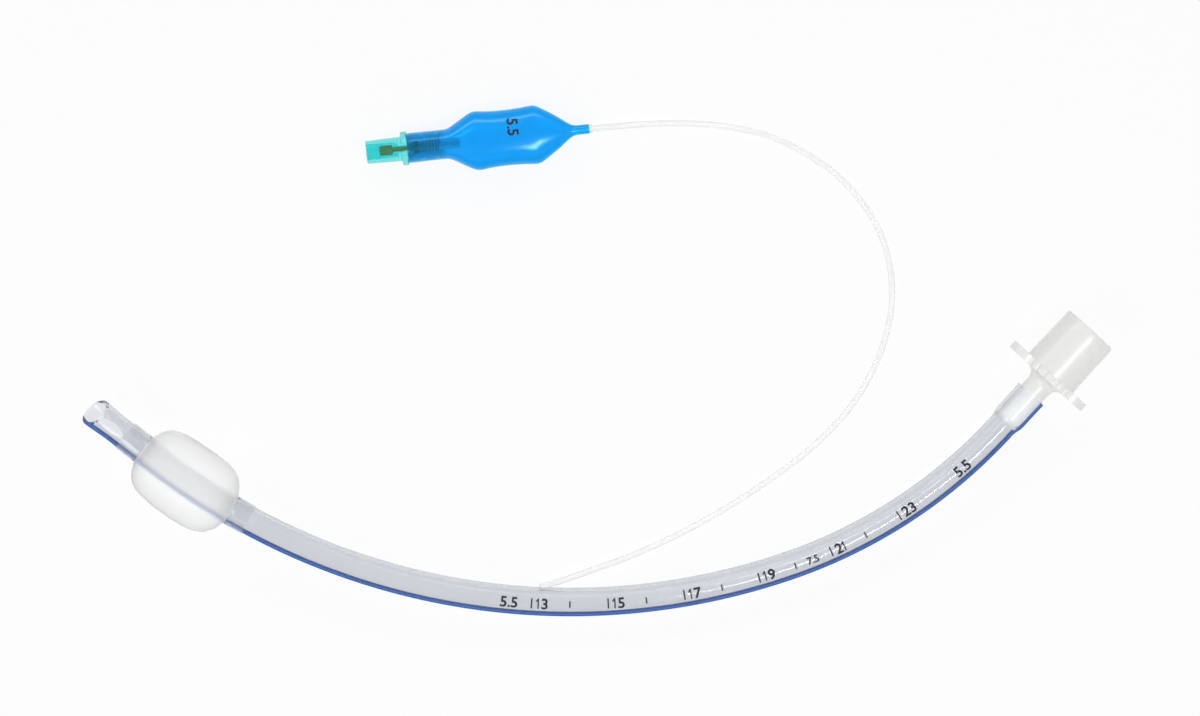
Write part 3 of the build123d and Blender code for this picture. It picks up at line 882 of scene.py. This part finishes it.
def flat_glyph(glyph, height):
    if glyph == "1":
        return flat_one(height)
    bpy.ops.object.select_all(action="DESELECT")
    bpy.ops.object.text_add(location=(0, 0, 0))
    text = bpy.context.object
    text.data.body = glyph
    text.data.size = height / GLYPH_HEIGHT
    text.data.offset = BOLD * height
    text.data.resolution_u = 4
    bpy.ops.object.convert(target="MESH")
    text = bpy.context.object
    text.data.transform(Matrix.Translation((0, -height / 2, 0)))
    return text


def flat_number(words, start, height=PRINT_HEIGHT):
    """Each numeral of a number, laid flat from this place along x on."""
    pieces = []
    for glyph in words:
        piece = flat_glyph(glyph, height)
        piece.data.transform(Matrix.Translation((start, 0, 0)))
        start += height * ADVANCE.get(glyph, WIDE_ADVANCE)
        pieces.append(piece)
    return pieces


def flat_tick(place, height):
    bpy.ops.object.select_all(action="DESELECT")
    bpy.ops.mesh.primitive_grid_add(x_subdivisions=2, y_subdivisions=2, size=1)
    tick = bpy.context.object
    shape = Matrix.Diagonal((TICK_WIDTH, height, 1, 1))
    tick.data.transform(Matrix.Translation((place, 0, 0)) @ shape)
    return tick


prints = []
for mark in MARKS:
    tall = mark % 2 == 1
    place = mark * CENTIMETRE - TICK_BEFORE
    prints.append(flat_tick(place, TALL_TICK if tall else LOW_TICK))
    if tall:
        prints += flat_number(str(mark), place + TICK_TO_NUMBER)
for words, start, height in SIZE_PRINTS:
    prints += flat_number(words, start, height)
marks = join_all(prints, "depth_marks")
slice_flat(marks, PRINT_HEIGHT / 2, MARK_SLICE, axis=1)
follow(marks, on_shaft)
apply_modifier(marks, "SOLIDIFY", thickness=INK_THICK, offset=0)
finish_piece(marks, ink)

# %% [markdown]
# The balloon carries the tube's inner size across its middle. The number is laid flat above
# it, turned a quarter, sliced both ways and dropped on to the film by a Shrinkwrap modifier.

# %% Print on the pilot balloon
PILOT_PRINT = Vector((-22.6, 87.4, 20)) * MM
PILOT_PRINT_START = -2.7 * MM
PILOT_PRINT_REACH = 4 * MM
PILOT_SLICE = 0.4 * MM
pilot_number = join_all(flat_number("5.5", PILOT_PRINT_START), "pilot_number")
slice_flat(pilot_number, PILOT_PRINT_REACH, PILOT_SLICE, axis=0)
slice_flat(pilot_number, PRINT_HEIGHT / 2, PILOT_SLICE, axis=1)
quarter = Matrix.Rotation(PILOT_HEADING + math.pi / 2, 4, "Z")
pilot_number.data.transform(Matrix.Translation(PILOT_PRINT) @ quarter)
apply_modifier(
    pilot_number, "SHRINKWRAP", target=pilot, wrap_method="PROJECT", offset=INK_LIFT,
    use_project_z=True, use_negative_direction=True, use_positive_direction=False,
)
apply_modifier(pilot_number, "SOLIDIFY", thickness=INK_THICK, offset=0)
finish_piece(pilot_number, ink)

# %% [markdown]
# The photo was taken from straight above against pure white. The camera looks straight down
# from the height at which the depth marks come out as far apart as they are in the photo.

# %% Camera
CAMERA_HEIGHT = 0.991
CAMERA_SPOT = (0.097 * MM, 27.524 * MM)
PHOTO_WIDTH = 1200
PIXELS_PER_MM = 3.83
REFERENCE_DISTANCE = 985
camera_data = bpy.data.cameras.new("camera")
camera_data.sensor_width = 36
camera_data.lens = PIXELS_PER_MM * REFERENCE_DISTANCE * camera_data.sensor_width / PHOTO_WIDTH
camera_data.clip_end = 10
camera = bpy.data.objects.new("camera", camera_data)
camera.location = (*CAMERA_SPOT, CAMERA_HEIGHT)
bpy.context.collection.objects.link(camera)
bpy.context.scene.camera = camera
print("lens", round(camera_data.lens, 1), "mm")

# %% [markdown]
# The floor is matt and nearly white. Stronger lamps would make it pure white, but they would
# bleach the tube too. So the floor also glows, but only in what the camera sees straight, by
# reflection or through clear plastic. A small share stays lit, which keeps the soft shadow.

# %% Floor
FLOOR_SIZE = 6
FLOOR_WHITE = 0.85


def whitened(nodes, links, factor, surface, output):
    """Mix plain white over the lit surface, by the factor, and send it to the output."""
    white = nodes.new("ShaderNodeEmission")
    white.inputs["Color"].default_value = (1, 1, 1, 1)
    mix = nodes.new("ShaderNodeMixShader")
    links.new(factor, mix.inputs["Fac"])
    links.new(surface, mix.inputs[1])
    links.new(white.outputs["Emission"], mix.inputs[2])
    links.new(mix.outputs["Shader"], output.inputs["Surface"])


def calculated(nodes, links, operation, first, second):
    """A Math node of two outputs, or of an output and a number; the result is its output."""
    node = nodes.new("ShaderNodeMath")
    node.operation = operation
    links.new(first, node.inputs[0])
    if isinstance(second, float):
        node.inputs[1].default_value = second
    else:
        links.new(second, node.inputs[1])
    return node.outputs["Value"]


bpy.ops.object.select_all(action="DESELECT")
bpy.ops.mesh.primitive_plane_add(size=FLOOR_SIZE, location=(0, 0, 0))
floor = bpy.context.object
floor.name = "floor"
floor_material = bpy.data.materials.new("floor")
floor_material.use_nodes = True
floor_nodes, floor_links = floor_material.node_tree.nodes, floor_material.node_tree.links
floor_shader = floor_nodes["Principled BSDF"]
floor_shader.inputs["Base Color"].default_value = (0.9, 0.9, 0.9, 1)
floor_shader.inputs["Roughness"].default_value = 0.9
floor_shader.inputs["Specular IOR Level"].default_value = 0
rays = floor_nodes.new("ShaderNodeLightPath").outputs
seen = calculated(floor_nodes, floor_links, "MAXIMUM", rays["Is Camera Ray"], rays["Is Glossy Ray"])
seen = calculated(floor_nodes, floor_links, "MAXIMUM", seen, rays["Is Transmission Ray"])
seen = calculated(floor_nodes, floor_links, "MULTIPLY", seen, FLOOR_WHITE)
floor_output = floor_nodes["Material Output"]
whitened(floor_nodes, floor_links, seen, floor_shader.outputs["BSDF"], floor_output)
floor.data.materials.append(floor_material)
print("floor", FLOOR_SIZE, "m wide, share of plain white", FLOOR_WHITE)

# %% [markdown]
# The world has to be white for the camera only. Its real light is weak and a little cold,
# so that it fills the shadows and leaves the forms to the lamps.

# %% World
AMBIENT = 0.4
world = bpy.data.worlds.new("studio")
bpy.context.scene.world = world
world.use_nodes = True
world_nodes, world_links = world.node_tree.nodes, world.node_tree.links
ambient = world_nodes["Background"]
ambient.inputs["Color"].default_value = (0.93, 0.95, 1, 1)
ambient.inputs["Strength"].default_value = AMBIENT
camera_ray = world_nodes.new("ShaderNodeLightPath").outputs["Is Camera Ray"]
world_output = world_nodes["World Output"]
whitened(world_nodes, world_links, camera_ray, ambient.outputs["Background"], world_output)
print("world strength", AMBIENT)

# %% [markdown]
# Three rectangular lamps stand in for a studio's softboxes. The long narrow one beyond the
# inner side of the bend draws the highlight that runs along the shaft.

# %% Lamps
LAMP_AIM = Vector((0, 0.02, 0))


def softbox(name, place, size, power):
    """A rectangular lamp that faces the middle of the tube."""
    lamp_data = bpy.data.lights.new(name, "AREA")
    lamp_data.shape = "RECTANGLE"
    lamp_data.size, lamp_data.size_y = size
    lamp_data.energy = power
    lamp = bpy.data.objects.new(name, lamp_data)
    lamp.location = place
    aim = LAMP_AIM - Vector(place)
    lamp.rotation_euler = aim.to_track_quat("-Z", "Y").to_euler()
    bpy.context.collection.objects.link(lamp)
    print("lamp", name, power, "W")


softbox("key", (0.31, -0.28, 1.0), (0.5, 0.16), 4.2)
softbox("fill", (-0.55, -0.45, 0.8), (0.5, 0.5), 2.6)
softbox("edge", (-0.2, 0.85, 0.62), (1.4, 0.14), 2.6)
bpy.context.scene.view_settings.view_transform = "Standard"
